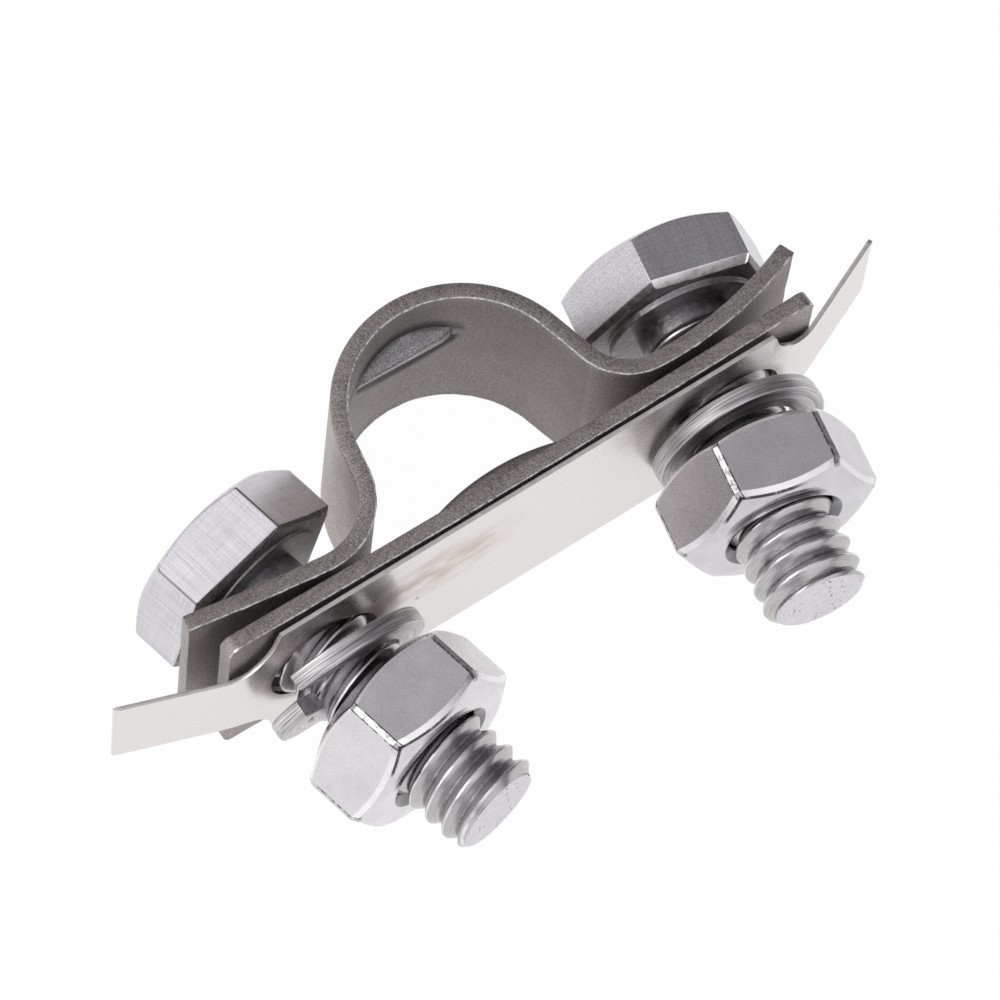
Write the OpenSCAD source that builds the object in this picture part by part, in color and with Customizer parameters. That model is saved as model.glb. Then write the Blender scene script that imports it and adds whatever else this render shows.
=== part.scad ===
// Cable tube clamp. A bent saddle strap and a flat plate are drawn together by two hex bolts.
// A thin tab shim lies under the plate, and each bolt carries a split washer and a hex nut.
// Lengths are in millimetres and angles in degrees.
// Z runs along the tube, X along the plate, and Y from the nuts toward the bolt heads.
// The origin is on the axis of the saddle's round crown, half way along its width.
// The clamp lies on its side, as it would on a table, so the tube axis stands upright.

/* [Saddle strap] */
// Width of the saddle strap along the tube
strap_w = 12.8; // [12:0.1:14]
// Thickness of the strap's sheet
strap_t = 1.0; // [0.8:0.05:1.2]
// Inner radius of the round crown
bore_r = 6.75; // [6.2:0.05:7.2]
// Lean of the left leg from upright where the crown ends
left_leg_lean = 11.2; // [8:0.2:14]
// Lean of the right leg from upright where the crown ends
right_leg_lean = 13.6; // [11:0.2:16]
// Straight length of the left leg
left_leg = 1.8; // [1.5:0.1:2.4]
// Straight length of the right leg
right_leg = 2.9; // [2.5:0.1:3.4]
// Radius of the left root bend at the middle of the sheet
left_root_r = 4.35; // [3.8:0.05:4.8]
// Radius of the right root bend at the middle of the sheet
right_root_r = 3.28; // [2.8:0.02:3.8]
// Rise of the left wing where it leaves the root bend
left_wing_rise = 6.1; // [4:0.1:8]
// Rise of the right wing where it leaves the root bend, negative when it still falls
right_wing_rise = -3.0; // [-4:0.1:-1]
// Radius of the slight upward sweep of the left wing
left_wing_r = 133; // [110:1:200]
// Radius of the upward sweep of the right wing
right_wing_r = 24.4; // [22:0.1:30]
// Length of the left wing beyond the root bend
left_wing = 8.8; // [8.4:0.1:9.4]
// Length of the right wing beyond the root bend
right_wing = 10.65; // [10:0.05:11]
// Radius of the bolt holes in the strap
strap_hole_r = 3.75; // [3.6:0.05:4]

/* [Crown rib] */
// How far the pressed rib stands into the bore at its middle
rib_depth = 0.85; // [0.5:0.05:1]
// Distance of the rib's ridge from the middle of the strap's width
rib_z = 1.9; // [1:0.1:3]
// Depth of sheet left under the groove behind the rib, measured along the press stroke
rib_skin = 1.1; // [0.9:0.05:1.3]

/* [Base plate] */
// Distance from the bore axis down to the level of the plate's top
plate_drop = 4.61; // [4.56:0.01:4.8]
// Length of the base plate
plate_l = 40.4; // [39:0.1:42]
// Width of the base plate
plate_w = 12.7; // [12:0.1:13.5]
// Thickness of the base plate
plate_t = 1.0; // [0.9:0.05:1.2]
// How far the plate's middle is bowed toward the nuts
plate_bow = 0.2; // [0.1:0.05:0.3]
// How far the plate's ends stand above the level of its top
plate_end_rise = 0.08; // [0.06:0.01:0.14]
// Shift of the plate's middle from the bore axis along X
plate_shift = 0.34; // [0:0.02:0.5]
// Radius of the plate's corners seen from above
plate_corner_r = 0.65; // [0.4:0.05:1.5]
// Radius of the bolt holes in the plate and in the shim
plate_hole_r = 3.57; // [3.5:0.01:3.8]
// Height of the plate's pressed rib above its top
plate_rib_h = 1.03; // [0.6:0.01:1.2]
// Length of the plate's pressed rib
plate_rib_l = 11; // [9:0.1:13]
// Place of the plate's rib along X
plate_rib_x = -0.6; // [-1:0.1:1]
// Place of the plate's rib along Z
plate_rib_z = 4.8; // [3.5:0.1:5]
// Height of the hollow under the plate's rib
plate_dent_h = 0.72; // [0.4:0.01:0.9]

/* [Tab shim] */
// Thickness of the shim's sheet
shim_t = 0.27; // [0.2:0.01:0.35]
// Gap between the shim and the level of the plate's underside
shim_gap = 0.36; // [0.34:0.01:0.45]
// Width of the shim
shim_w = 12.7; // [12:0.1:13.2]
// Width of the tabs at its ends
tab_w = 6.35; // [5:0.05:7]
// How far inside the plate's left end the left tab's bend begins
left_tab_in = 1.44; // [1.2:0.01:1.9]
// How far inside the plate's right end the right tab's bend begins
right_tab_in = 2.12; // [1.9:0.01:2.14]
// Rise of the left tab
left_tab_rise = 19; // [14:0.25:20]
// Rise of the right tab
right_tab_rise = 23.75; // [18:0.25:24]
// Length of the left tab beyond its bend
left_tab = 6.4; // [5:0.05:8]
// Length of the right tab beyond its bend
right_tab = 6.5; // [5:0.05:8]
// Radius of the tab bends at the middle of the sheet
tab_bend_r = 6; // [5.8:0.1:7]
// Radius of the hollow shoulders where the shim narrows to its tabs
shoulder_r = 3.175; // [2.5:0.025:3.175]
// How far beyond the plate's left end the left pair of hollow shoulders is centred
left_shoulder_out = 0.3; // [0:0.05:0.6]
// How far beyond the plate's right end the right pair of hollow shoulders is centred
right_shoulder_out = 0.05; // [0:0.05:0.6]

/* [Bolts] */
// Outer radius of the thread
bolt_r = 3.175; // [3.1:0.005:3.19]
// Length of a bolt under its head
bolt_l = 18.9; // [18:0.05:20]
// Radius of the flat at a bolt's tip
tip_r = 2.75; // [2.4:0.05:3]
// Width of heads and nuts across their flats
hex_af = 11.11; // [10.9:0.01:11.2]
// Height of a bolt head with its washer face
head_h = 4.27; // [3.9:0.01:4.5]
// Radius of the round washer face under a head
washer_face_r = 4.58; // [4.3:0.01:5]
// Height of the washer face
washer_face_h = 0.42; // [0.3:0.01:0.45]
// How far the straight bevels under a head run in from its flats
head_bevel_in = 0.45; // [0.2:0.01:0.5]
// Height of those bevels
head_bevel_h = 0.3; // [0.2:0.01:0.5]
// Radius of the round flat on top of a head
head_top_r = 5.4; // [5:0.05:5.5]
// Lean of the left bolt away from upright, head outward
left_bolt_lean = 11.7; // [11.6:0.05:12]
// Lean of the right bolt away from upright, head outward
right_bolt_lean = 11.2; // [11.1:0.05:11.5]
// Place of the left bolt along X at the level of the plate's top
left_bolt_x = -14; // [-14.03:0.01:-13.93]
// Place of the right bolt along X at the level of the plate's top
right_bolt_x = 14.805; // [14.73:0.005:14.85]
// Place of the left bolt along Z
left_bolt_z = 0.15; // [0:0.01:0.2]
// Place of the right bolt along Z
right_bolt_z = -0.2; // [-0.2:0.01:0]
// Height of the left head's bearing face above the plate's level, along the bolt
left_seat = 3.56; // [3.56:0.01:4]
// Height of the right head's bearing face above the plate's level, along the bolt
right_seat = 4.28; // [4.28:0.01:4.6]
// Turn of the left head about its bolt
left_head_turn = -15.4; // [-30:0.2:30]
// Turn of the right head about its bolt
right_head_turn = 8.9; // [-30:0.1:30]

/* [Nuts] */
// Height of a nut
nut_h = 5.74; // [5.4:0.01:5.8]
// Radius of the round flat on each face of a nut
nut_flat_r = 4.3; // [4.2:0.05:5]
// Gap between the thread's crests and the bore of a nut
thread_gap = 0.05; // [0.03:0.005:0.09]
// Radius of the countersink at the mouth of a nut
nut_mouth_r = 3.6; // [3.4:0.05:3.9]
// Distance along its bolt from the stack of plate and shim to the left nut's top face
left_nut_below = 3.8; // [3.6:0.01:4.4]
// Distance along its bolt from the stack of plate and shim to the right nut's top face
right_nut_below = 2.77; // [2.77:0.01:3.4]
// Turn of the left nut about its bolt
left_nut_turn = 0.2; // [-30:0.2:30]
// Turn of the right nut about its bolt
right_nut_turn = 1; // [-30:0.2:30]

/* [Split washers] */
// Inner radius of a split washer
split_in_r = 3.45; // [3.42:0.01:3.5]
// Outer radius of a split washer
split_out_r = 5.3; // [5:0.05:5.35]
// Thickness of a split washer's bar
split_t = 1.1; // [0.9:0.01:1.12]
// Height between the two ends of a split washer
split_rise = 1.3; // [1.1:0.02:1.32]
// Angle of the gap between a washer's ends
split_gap = 7; // [4:0.5:12]
// Distance along its bolt from the stack of plate and shim to the left washer's middle
left_split_below = 1.79; // [1.6:0.01:1.9]
// Distance along its bolt from the stack of plate and shim to the right washer's middle
right_split_below = 1.56; // [1.4:0.01:1.57]
// Tilt of the left washer on its bolt toward the other bolt
left_split_tilt = 8.9; // [8.5:0.1:9.3]
// Tilt of the right washer on its bolt toward the other bolt
right_split_tilt = 6; // [5.7:0.1:6.3]
// Tilt of the left washer toward the front
left_split_nod = 10.25; // [9.95:0.05:10.5]
// Tilt of the right washer toward the back
right_split_nod = 2.4; // [2.1:0.1:2.7]
// Direction of the left washer's gap around its bolt
left_split_turn = -162; // [-170:1:-155]
// Direction of the right washer's gap around its bolt
right_split_turn = 70; // [60:1:80]
// Slip of the left washer off its bolt's axis along X
left_split_x = 0.03; // [0:0.01:0.05]
// Slip of the right washer off its bolt's axis along X
right_split_x = 0.09; // [0.07:0.01:0.11]
// Slip of the left washer off its bolt's axis toward the back
left_split_back = 0.03; // [0:0.01:0.05]
// Slip of the right washer off its bolt's axis toward the back
right_split_back = 0.19; // [0.17:0.01:0.2]

/* [Hidden] */
crown_r = bore_r + strap_t / 2;
hex_r = hex_af / 2 / cos(30);
nut_bore_r = bolt_r + thread_gap;
over = 1;
shim_drop = plate_t + shim_gap;
stack_t = shim_drop + shim_t;
left_end_x = plate_l / 2 - plate_shift;
right_end_x = plate_l / 2 + plate_shift;
left_tab_x = left_end_x - left_tab_in;
right_tab_x = right_end_x - right_tab_in;
left_shoulder_x = left_end_x + left_shoulder_out;
right_shoulder_x = right_end_x + right_shoulder_out;
// How far the flat runs and wings reach into the bends they meet, and how much thinner
// they are than those bends on each face, so that the pieces fuse cleanly
lap = 0.1;
skim = 0.01;
strap_color = [0.52, 0.49, 0.48];
shim_color = [0.84, 0.82, 0.81];
bolt_color = [0.74, 0.73, 0.76];
nut_color = [0.66, 0.64, 0.65];
split_color = [0.6, 0.58, 0.58];

// A straight run of sheet along X, seen edge on, and what follows it. Reach is how far
// it goes into its neighbours.
module run(length, sheet, reach = 0) {
    translate([-reach, -sheet / 2])
        square([length + 2 * reach, sheet]);
    translate([length, 0])
        children();
}

// A wedge of the plane from just before straight down, turning anticlockwise.
module wedge(turn, reach, before) {
    polygon([[0, 0], [-reach * sin(before), -reach * cos(before)], [reach * sin(turn), -reach * cos(turn)]]);
}

// A bend of the sheet toward +Y, and what follows it. Back is how far it starts early.
module bend_up(mid_r, turn, sheet, back = 0) {
    translate([0, mid_r])
        intersection() {
            difference() {
                circle(r = mid_r + sheet / 2, $fn = 120);
                circle(r = mid_r - sheet / 2, $fn = 120);
            }
            wedge(turn, 2 * (mid_r + sheet), back / mid_r * 180 / PI);
        }
    translate([0, mid_r])
        rotate(turn)
            translate([0, -mid_r])
                children();
}

// The same bend toward -Y.
module bend_down(mid_r, turn, sheet, back = 0) {
    mirror([0, 1])
        bend_up(mid_r, turn, sheet, back)
            mirror([0, 1])
                children();
}

// One half of the saddle, edge on, from the top of the crown to the end of the wing.
module saddle_half(lean, leg, root_r, wing_rise, wing_r, wing) {
    thin_t = strap_t - 2 * skim;
    translate([0, crown_r])
        bend_down(crown_r, 90 - lean, strap_t)
            run(leg, thin_t, lap)
                bend_up(root_r, 90 - lean + wing_rise, strap_t)
                    bend_up(wing_r, wing / wing_r * 180 / PI, thin_t, lap)
                        ;
}

module saddle_profile() {
    saddle_half(right_leg_lean, right_leg, right_root_r, right_wing_rise, right_wing_r, right_wing);
    mirror([1, 0])
        saddle_half(left_leg_lean, left_leg, left_root_r, left_wing_rise, left_wing_r, left_wing);
}

// A right-angled vee opening toward +Y with its edge along X.
module vee(edge_y, edge_z, length, depth) {
    translate([-length / 2, edge_y, edge_z])
        rotate([0, 90, 0])
            linear_extrude(height = length)
                polygon([[0, 0], [depth, depth], [-depth, depth]]);
}

// Puts its children on a bolt's axis, with the level of the plate's top at their z = 0.
module on_bolt(x, z, lean) {
    translate([x, -plate_drop, z])
        rotate([0, 0, lean])
            rotate([-90, 0, 0])
                children();
}

module on_left_bolt() {
    on_bolt(left_bolt_x, left_bolt_z, left_bolt_lean)
        children();
}

module on_right_bolt() {
    on_bolt(right_bolt_x, right_bolt_z, -right_bolt_lean)
        children();
}

// The saddle: one strip bent over the tube, with a sharp rib pressed into the crown to bite.
module saddle_strap() {
    ridge_y = bore_r - rib_depth;
    color(strap_color)
        difference() {
            union() {
                linear_extrude(height = strap_w, center = true)
                    saddle_profile();
                intersection() {
                    cylinder(r = crown_r, h = strap_w, center = true, $fn = 120);
                    vee(ridge_y, rib_z, 4 * bore_r, 2 * strap_t);
                }
            }
            vee(ridge_y + rib_skin, rib_z, 4 * bore_r, 2 * strap_t);
            on_bolt(left_bolt_x, 0, left_bolt_lean)
                translate([0, 0, -over])
                    cylinder(r = strap_hole_r, h = left_seat + 3 * over, $fn = 72);
            on_bolt(right_bolt_x, 0, -right_bolt_lean)
                translate([0, 0, -over])
                    cylinder(r = strap_hole_r, h = right_seat + 3 * over, $fn = 72);
        }
}

// A lens-shaped boss lying along X, round in section.
module long_lens(length, height) {
    arc_r = (length * length / 4 + height * height) / (2 * height);
    rotate([0, 90, 0])
        rotate_extrude($fn = 96)
            intersection() {
                translate([height - arc_r, 0])
                    circle(r = arc_r, $fn = 360);
                translate([0, -length])
                    square([height + over, 2 * length]);
            }
}

module plate_plan() {
    inner_l = plate_l - 2 * plate_corner_r;
    inner_w = plate_w - 2 * plate_corner_r;
    square([inner_l, plate_w], center = true);
    square([plate_l, inner_w], center = true);
    for (sx = [-1, 1], sz = [-1, 1])
        translate([sx * inner_l / 2, sz * inner_w / 2])
            circle(r = plate_corner_r, $fn = 48);
}

module plate_profile() {
    bow_r = plate_l * plate_l / 8 / plate_bow;
    top_y = plate_end_rise - plate_bow;
    intersection() {
        translate([0, bow_r + top_y])
            difference() {
                circle(r = bow_r + plate_t, $fn = 1500);
                circle(r = bow_r, $fn = 1500);
            }
        square([plate_l + over, 8 * plate_t], center = true);
    }
}

// Bolt holes through plate or shim, at the height where the leaning bolts pass it.
module plate_holes(depth) {
    for (side = [[left_bolt_x, left_bolt_lean], [right_bolt_x, -right_bolt_lean]])
        translate([side[0] + depth * tan(side[1]), -plate_drop - depth, 0])
            rotate([90, 0, 0])
                cylinder(r = plate_hole_r, h = 4 * over, center = true, $fn = 72);
}

// The plate that closes the saddle, with its own rib pressed up toward the tube.
module base_plate() {
    rib_y = -plate_drop + plate_end_rise - plate_bow;
    color(strap_color)
        difference() {
            union() {
                translate([plate_shift, 0, 0])
                    intersection() {
                        translate([0, -plate_drop, 0])
                            linear_extrude(height = plate_w + over, center = true)
                                plate_profile();
                        translate([0, -plate_drop + 2 * over, 0])
                            rotate([90, 0, 0])
                                linear_extrude(height = 5 * over)
                                    plate_plan();
                    }
                intersection() {
                    translate([plate_rib_x, rib_y, plate_rib_z])
                        long_lens(plate_rib_l, plate_rib_h);
                    translate([plate_rib_x, rib_y + plate_rib_h - plate_t / 2, plate_rib_z])
                        cube([plate_rib_l + over, 2 * plate_rib_h, 3 * plate_rib_h], center = true);
                }
            }
            translate([plate_rib_x, rib_y - plate_t, plate_rib_z])
                long_lens(plate_rib_l * 0.85, plate_dent_h);
            plate_holes(plate_t / 2);
        }
}

module shim_plan() {
    reach = right_tab_x + right_tab + 3 * over;
    difference() {
        square([2 * reach, shim_w], center = true);
        for (sz = [-1, 1]) {
            translate([right_shoulder_x, sz * (tab_w / 2 + shoulder_r)])
                circle(r = shoulder_r, $fn = 72);
            translate([-left_shoulder_x, sz * (tab_w / 2 + shoulder_r)])
                circle(r = shoulder_r, $fn = 72);
            translate([right_shoulder_x, sz * (tab_w / 2 + shim_w / 2) - shim_w / 2])
                square([reach, shim_w]);
            translate([-left_shoulder_x - reach, sz * (tab_w / 2 + shim_w / 2) - shim_w / 2])
                square([reach, shim_w]);
        }
    }
}

module shim_profile() {
    thin_t = shim_t - 2 * skim;
    translate([-left_tab_x, 0])
        run(left_tab_x + right_tab_x, thin_t, lap);
    translate([right_tab_x, 0])
        bend_up(tab_bend_r, right_tab_rise, shim_t)
            run(right_tab, thin_t, lap)
                ;
    translate([-left_tab_x, 0])
        mirror([1, 0])
            bend_up(tab_bend_r, left_tab_rise, shim_t)
                run(left_tab, thin_t, lap)
                    ;
}

// The thin strip under the plate, narrowed and bent up at both ends into tabs.
module tab_shim() {
    mid = shim_drop + shim_t / 2;
    color(shim_color)
        difference() {
            translate([0, -plate_drop - mid, 0])
                intersection() {
                    linear_extrude(height = shim_w + over, center = true)
                        shim_profile();
                    translate([0, 6 * over, 0])
                        rotate([90, 0, 0])
                            linear_extrude(height = 8 * over)
                                shim_plan();
                }
            plate_holes(mid);
        }
}

// The hexagon of a head, bevelled straight under each flat and turned to a cone on top.
module head_block() {
    side_r = hex_r + 0.2;
    fall = (side_r - head_top_r) * tan(30);
    block_h = head_h - washer_face_h;
    low_r = hex_r - head_bevel_in / cos(30);
    grow = block_h * (hex_r - low_r) / head_bevel_h;
    intersection() {
        cylinder(r = hex_r, h = block_h, $fn = 6);
        cylinder(r1 = low_r, r2 = low_r + grow, h = block_h, $fn = 6);
        rotate_extrude($fn = 120)
            polygon([
                [0, 0],
                [side_r, 0],
                [side_r, block_h - fall],
                [head_top_r, block_h],
                [0, block_h]
            ]);
    }
}

// A hex bolt along Z: bearing face at z = 0, head above it, shank below.
module hex_bolt(turn) {
    tip_h = bolt_r - tip_r;
    translate([0, 0, washer_face_h])
        rotate([0, 0, turn])
            head_block();
    cylinder(r = washer_face_r, h = washer_face_h + lap, $fn = 120);
    translate([0, 0, tip_h - bolt_l])
        cylinder(r = bolt_r, h = bolt_l - tip_h + head_h / 2, $fn = 96);
    translate([0, 0, -bolt_l])
        cylinder(r1 = tip_r, r2 = bolt_r, h = tip_h, $fn = 96);
}

module left_bolt() {
    color(bolt_color)
        on_left_bolt()
            translate([0, 0, left_seat])
                hex_bolt(left_head_turn);
}

module right_bolt() {
    color(bolt_color)
        on_right_bolt()
            translate([0, 0, right_seat])
                hex_bolt(right_head_turn);
}

// A hex nut along Z, its top face at z = 0.
module hex_nut(turn) {
    side_r = hex_r + 0.2;
    fall = (side_r - nut_flat_r) * tan(30);
    mouth_h = nut_mouth_r - nut_bore_r;
    translate([0, 0, -nut_h])
        difference() {
            intersection() {
                rotate([0, 0, turn])
                    cylinder(r = hex_r, h = nut_h, $fn = 6);
                rotate_extrude($fn = 120)
                    polygon([
                        [0, 0],
                        [nut_flat_r, 0],
                        [side_r, fall],
                        [side_r, nut_h - fall],
                        [nut_flat_r, nut_h],
                        [0, nut_h]
                    ]);
            }
            translate([0, 0, -over])
                cylinder(r = nut_bore_r, h = nut_h + 2 * over, $fn = 96);
            translate([0, 0, -over])
                cylinder(r1 = nut_mouth_r + over, r2 = nut_bore_r, h = mouth_h + over, $fn = 96);
            translate([0, 0, nut_h - mouth_h])
                cylinder(r1 = nut_bore_r, r2 = nut_mouth_r + over, h = mouth_h + over, $fn = 96);
        }
}

module left_nut() {
    color(nut_color)
        on_left_bolt()
            translate([0, 0, -stack_t - left_nut_below])
                hex_nut(left_nut_turn);
}

module right_nut() {
    color(nut_color)
        on_right_bolt()
            translate([0, 0, -stack_t - right_nut_below])
                hex_nut(right_nut_turn);
}

// A split washer: a square bar wound one turn, falling as it goes round anticlockwise.
module split_washer() {
    steps = 60;
    sweep = 360 - split_gap;
    bar = [[split_in_r, -split_t / 2], [split_out_r, -split_t / 2], [split_out_r, split_t / 2], [split_in_r, split_t / 2]];
    points = [
        for (i = [0:steps], c = bar)
            let (a = split_gap / 2 + sweep * i / steps)
                [c[0] * cos(a), c[0] * sin(a), c[1] + split_rise * (0.5 - i / steps)]
    ];
    sides = [
        for (i = [0:steps - 1], k = [0:3])
            let (a = 4 * i + k, b = 4 * i + (k + 1) % 4)
                each [[a, b, b + 4], [a, b + 4, a + 4]]
    ];
    last = 4 * steps;
    ends = [[3, 2, 1, 0], [last, last + 1, last + 2, last + 3]];
    polyhedron(points = points, faces = concat(sides, ends));
}

module left_spring_washer() {
    color(split_color)
        on_left_bolt()
            translate([left_split_x, left_split_back, -stack_t - left_split_below])
                rotate([left_split_nod, left_split_tilt, 0])
                    rotate([0, 0, left_split_turn])
                        split_washer();
}

module right_spring_washer() {
    color(split_color)
        on_right_bolt()
            translate([right_split_x, right_split_back, -stack_t - right_split_below])
                rotate([-right_split_nod, -right_split_tilt, 0])
                    rotate([0, 0, right_split_turn])
                        split_washer();
}

saddle_strap();
base_plate();
tab_shim();
left_bolt();
right_bolt();
left_spring_washer();
right_spring_washer();
left_nut();
right_nut();
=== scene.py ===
# %% [markdown]
# # A cable tube clamp, dressed in steel
#
# The clamp is nine pieces of stainless steel: a saddle strap bent over the tube, a flat
# plate that closes it, a thin shim with two turned-up tabs, and two leaning hex bolts, each
# with a split washer and a nut. It lies on its side on a white table, and we look down on it.
#
# The CAD model already has each piece at its true size and place. This script loads it as a
# fixed frame and gives it what a photograph would show: threads, rounded edges, brushed
# and tumbled steel, a white table and soft light. The frame comes first, and its box is kept;
# the table is laid just under it.

# %% Load the frame
import math
import random

import bmesh
import bpy
from mathutils import Matrix, Vector


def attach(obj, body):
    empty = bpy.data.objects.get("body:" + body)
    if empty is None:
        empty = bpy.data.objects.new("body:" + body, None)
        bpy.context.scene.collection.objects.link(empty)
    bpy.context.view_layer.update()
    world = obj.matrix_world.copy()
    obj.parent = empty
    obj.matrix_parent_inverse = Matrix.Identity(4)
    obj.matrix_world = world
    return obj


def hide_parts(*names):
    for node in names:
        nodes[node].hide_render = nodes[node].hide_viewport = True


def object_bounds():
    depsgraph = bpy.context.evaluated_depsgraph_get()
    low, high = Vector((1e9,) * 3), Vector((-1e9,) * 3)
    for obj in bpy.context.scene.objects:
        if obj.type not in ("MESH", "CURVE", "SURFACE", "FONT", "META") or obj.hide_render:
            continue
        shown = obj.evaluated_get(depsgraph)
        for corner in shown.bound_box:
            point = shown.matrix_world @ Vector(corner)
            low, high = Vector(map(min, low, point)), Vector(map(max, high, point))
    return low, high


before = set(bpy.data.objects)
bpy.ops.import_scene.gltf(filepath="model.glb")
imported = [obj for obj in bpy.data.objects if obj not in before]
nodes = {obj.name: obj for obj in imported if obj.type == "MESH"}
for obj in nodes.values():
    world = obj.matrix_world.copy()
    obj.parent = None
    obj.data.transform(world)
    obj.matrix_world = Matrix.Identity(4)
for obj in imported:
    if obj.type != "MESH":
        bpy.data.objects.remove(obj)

cad_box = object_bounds()
MM = 0.001
print("loaded", len(nodes), "pieces, box", [[round(v / MM, 2) for v in corner] for corner in cad_box])

# %% [markdown]
# ## A small language for finishes
#
# A steel finish is a sum of small effects: a grain here, a scratch there, a darker patch. In
# the node editor each sum is a box with two wires. Here one class, `Wire`, holds the output of
# a node and understands `+`, `-`, `*`, `/` and `**`, so that a finish reads like arithmetic.
# A second class, `Finish`, owns a material and adds any other node from its one method, `add`.

# %% Wires that can be added and multiplied
class Wire:
    """The output of a shader node, which can be used in sums."""

    def __init__(self, finish, socket):
        self.finish = finish
        self.socket = socket

    def sum(self, operation, first, second=None):
        wires = [first] if second is None else [first, second]
        return self.finish.add("ShaderNodeMath", {"operation": operation}, dict(enumerate(wires)))

    def __add__(self, other):
        return self.sum("ADD", self, other)

    def __radd__(self, other):
        return self.sum("ADD", other, self)

    def __sub__(self, other):
        return self.sum("SUBTRACT", self, other)

    def __rsub__(self, other):
        return self.sum("SUBTRACT", other, self)

    def __mul__(self, other):
        return self.sum("MULTIPLY", self, other)

    def __rmul__(self, other):
        return self.sum("MULTIPLY", other, self)

    def __truediv__(self, other):
        return self.sum("DIVIDE", self, other)

    def __rtruediv__(self, other):
        return self.sum("DIVIDE", other, self)

    def __pow__(self, other):
        return self.sum("POWER", self, other)

    def __rpow__(self, other):
        return self.sum("POWER", other, self)

    def __abs__(self):
        return self.sum("ABSOLUTE", self)

    def clamp(self):
        return self.finish.add("ShaderNodeClamp", {}, {"Value": self})

    def below(self, edge, blur):
        """1 where the value is under edge, 0 over it, softened over blur."""
        return ((edge - self) / blur + 0.5).clamp()

    def above(self, edge, blur):
        return ((self - edge) / blur + 0.5).clamp()


# %% A material that grows node by node
class Finish:
    """A material, or a world, and the nodes that make it."""

    def __init__(self, name, owner=None):
        self.owner = owner or bpy.data.materials.new(name)
        self.owner.use_nodes = True
        self.tree = self.owner.node_tree
        self.tree.nodes.clear()

    def add(self, kind, settings=None, wires=None, out=0):
        """Adds a node: its settings first, then its sockets' values or links."""
        node = self.tree.nodes.new(kind)
        for name, value in (settings or {}).items():
            setattr(node, name, value)
        for name, value in (wires or {}).items():
            if isinstance(value, Wire):
                self.tree.links.new(value.socket, node.inputs[name])
            else:
                node.inputs[name].default_value = value
        return Wire(self, node.outputs[out]) if len(node.outputs) else node

    def mix(self, share, first, second):
        """A colour between two colours."""
        wires = {0: share, 6: first, 7: second}
        return self.add("ShaderNodeMix", {"data_type": "RGBA"}, wires, out=2)

    def place(self):
        """Where we are on the piece, in millimetres."""
        spot = self.add("ShaderNodeTexCoord", {}, {}, out=3)
        return self.add("ShaderNodeVectorMath", {"operation": "SCALE"}, {0: spot, "Scale": 1000.0})

    def split(self, place):
        return [self.add("ShaderNodeSeparateXYZ", {}, {0: place}, out=k) for k in range(3)]

    def join(self, x, y, z):
        return self.add("ShaderNodeCombineXYZ", {}, {0: x, 1: y, 2: z})

    def stretch(self, place, scale):
        return self.add("ShaderNodeVectorMath", {"operation": "MULTIPLY"}, {0: place, 1: scale})

    def along(self, way, direction):
        """1 where way points along direction, down to -1 where it points against it."""
        wires = {0: way, 1: direction}
        return self.add("ShaderNodeVectorMath", {"operation": "DOT_PRODUCT"}, wires, out=1)

    def turned(self, up, across):
        """The angle of a point round an axis, in radians."""
        return self.add("ShaderNodeMath", {"operation": "ARCTAN2"}, {0: up, 1: across})

    def from_corner(self, angle):
        """How many degrees an angle lies from a hexagon's nearest corner."""
        return self.add("ShaderNodeMath", {"operation": "PINGPONG"}, {0: angle, 1: 30.0})

    def noise(self, place, scale, detail=3.0, rough=0.55, twist=0.0):
        wires = {"Vector": place, "Scale": scale, "Detail": detail}
        wires.update({"Roughness": rough, "Distortion": twist})
        return self.add("ShaderNodeTexNoise", {}, wires)

    def uneven(self, place, scale, detail=3.0, rough=0.55):
        """Noise that goes as far below 0 as above it."""
        return self.noise(place, scale, detail, rough) - 0.5


def grey(value):
    """A grey colour, from 0 for black to 1 for white."""
    return (value, value, value, 1.0)


print("the wire and finish classes are ready")

# %% [markdown]
# ## The camera
#
# The photograph was taken from above with a long lens. Its place was found from the edges of
# both bolt heads, both nuts and both tips, which are standard sizes, so that a point on the
# model lands where it does in the photograph. A Blender camera looks along its own -Z with +Y
# up, so its turn is a matrix whose columns are the camera's right, up and back.

# %% Place the camera
camera_right = Vector((0.82001, -0.56897, 0.06212))
camera_up = Vector((0.49539, 0.75990, 0.42088))
camera_back = Vector((-0.28667, -0.31435, 0.90499))
camera_data = bpy.data.cameras.new("photo_camera")
camera = bpy.data.objects.new("photo_camera", camera_data)
bpy.context.scene.collection.objects.link(camera)
camera_turn = Matrix((camera_right, camera_up, camera_back)).transposed().to_4x4()
camera_place = Vector((-129.1764, -145.6695, 408.4468)) * MM
camera.matrix_world = Matrix.Translation(camera_place) @ camera_turn
camera_data.sensor_width = 36.0
camera_data.lens = 282.858
camera_data.clip_start = 0.05
camera_data.clip_end = 20.0
bpy.context.scene.camera = camera
bpy.context.scene.view_settings.view_transform = "Standard"
print("camera at", [round(v / MM, 1) for v in camera.location], "mm")

# %% [markdown]
# ## The table and the light
#
# Bare steel has hardly any colour of its own: it shows its surroundings. In the photograph the
# sides that look down at the table are nearly white, those that look up to the left are
# bright, and those that look up to the right are a good deal darker. So the room is a soft
# gradient, bright on the left and dim on the right, over a white table, with a low bright
# patch in front, and a large soft lamp hangs at the left.

# %% A white table that keeps the shadow
TABLE_RADIUS = 1.5
SEEN_WHITE, MIRRORED_WHITE = 0.975, 0.85


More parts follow.
